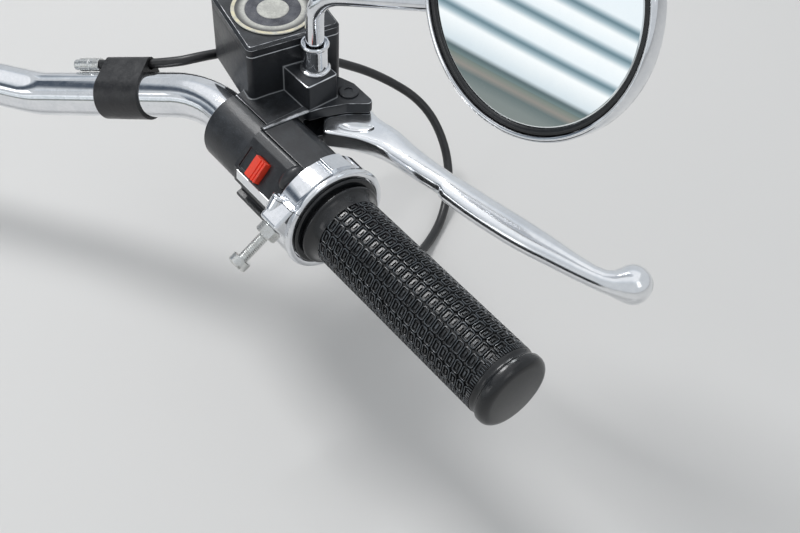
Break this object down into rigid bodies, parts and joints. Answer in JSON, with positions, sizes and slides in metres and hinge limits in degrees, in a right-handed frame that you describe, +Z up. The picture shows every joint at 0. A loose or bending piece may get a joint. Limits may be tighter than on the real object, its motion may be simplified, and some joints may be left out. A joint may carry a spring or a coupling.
{
  "type": "motorcycle handlebar",
  "caption": "Low chromed motorcycle handlebar with rubber grips, throttle, brake and clutch levers, brake master cylinder, switch housings and round mirrors on stems.",
  "frame": {"origin": "centre of the straight clamp zone of the tube, on the tube's axis", "axes": "+X to the rider's right along the clamp zone, +Y forwards, +Z up"},
  "size_m": [0.7814, 0.2471, 0.2689],
  "materials": {
    "chrome": "polished",
    "black_rubber": "satin",
    "black_alloy": "satin, worn at the edges",
    "label_plate": "satin",
    "polished_alloy": "polished",
    "zinc_steel": "zinc plated",
    "red_plastic": "gloss",
    "yellow_plastic": "gloss",
    "black_plastic": "matt",
    "cable_cover": "satin",
    "mirror_glass": "mirror"
  },
  "bodies": {
    "handlebar": {"handlebar": "chrome", "bar_wrap_right": "black_rubber", "bar_wrap_left": "black_rubber", "master_cylinder": "black_alloy", "master_cylinder_clamp": "black_alloy", "reservoir_lid": "black_alloy", "reservoir_label": "label_plate", "piston_boot": "black_rubber", "brake_lever_bolt": "zinc_steel", "clutch_lever_bolt": "zinc_steel", "right_switch_front": "black_alloy", "right_switch_rear": "black_alloy", "kill_slider": "red_plastic", "throttle_housing_upper": "chrome", "throttle_housing_lower": "chrome", "friction_screw": "zinc_steel", "friction_nut": "zinc_steel", "left_grip": "black_rubber", "left_perch": "black_alloy", "left_perch_clamp": "black_alloy", "cable_adjuster": "zinc_steel", "left_switch_front": "black_alloy", "left_switch_rear": "black_alloy", "turn_slider": "black_plastic", "horn_button": "yellow_plastic", "throttle_cable": "cable_cover", "cable_elbow": "chrome", "cable_ferrule": "zinc_steel", "right_mirror_collar": "chrome", "left_mirror_collar": "chrome"},
    "throttle": {"throttle_tube": "black_plastic", "right_grip": "black_rubber"},
    "brake_lever": {"brake_lever": "polished_alloy"},
    "clutch_lever": {"clutch_lever": "polished_alloy"},
    "right_mirror_stem": {"right_mirror_stem": "chrome"},
    "right_mirror_head": {"right_mirror_shell": "chrome", "right_mirror_rim": "chrome", "right_mirror_gasket": "black_rubber", "right_mirror_glass": "mirror_glass"},
    "left_mirror_stem": {"left_mirror_stem": "chrome"},
    "left_mirror_head": {"left_mirror_shell": "chrome", "left_mirror_rim": "chrome", "left_mirror_gasket": "black_rubber", "left_mirror_glass": "mirror_glass"}
  },
  "joints": [
    {"name": "throttle_turn", "type": "hinge", "parent": "handlebar", "child": "throttle", "pos_m": [0.25028, -0.05898, 0.01974], "axis": [0.846, -0.5286, -0.0698], "range_deg": [0, 75], "stiffness_Nm_per_rad": 0.35, "springref_deg": -14.32},
    {"name": "brake_lever_pull", "type": "hinge", "parent": "handlebar", "child": "brake_lever", "pos_m": [0.23336, 0.0023, 0.03104], "axis": [-0.0592, 0.037, -0.9976], "range_deg": [0, 11], "stiffness_Nm_per_rad": 6, "springref_deg": -8.59},
    {"name": "clutch_lever_pull", "type": "hinge", "parent": "handlebar", "child": "clutch_lever", "pos_m": [-0.23336, 0.0023, 0.03104], "axis": [-0.0592, -0.037, 0.9976], "range_deg": [0, 11], "stiffness_Nm_per_rad": 6, "springref_deg": -8.59},
    {"name": "right_mirror_swivel", "type": "hinge", "parent": "handlebar", "child": "right_mirror_stem", "pos_m": [0.22044, -0.00378, 0.05664], "axis": [0.0592, -0.037, 0.9976], "range_deg": [-30, 30]},
    {"name": "right_mirror_tilt", "type": "hinge", "parent": "right_mirror_stem", "child": "right_mirror_head", "pos_m": [0.32395, 0.00701, 0.10343], "axis": [0.8809, -0.4682, -0.0696], "range_deg": [-12, 12]},
    {"name": "left_mirror_swivel", "type": "hinge", "parent": "handlebar", "child": "left_mirror_stem", "pos_m": [-0.22044, -0.00378, 0.05664], "axis": [0.0592, 0.037, -0.9976], "range_deg": [-30, 30]},
    {"name": "left_mirror_tilt", "type": "hinge", "parent": "left_mirror_stem", "child": "left_mirror_head", "pos_m": [-0.32395, 0.00701, 0.10343], "axis": [0.8809, 0.4682, 0.0696], "range_deg": [-12, 12]}
  ]
}
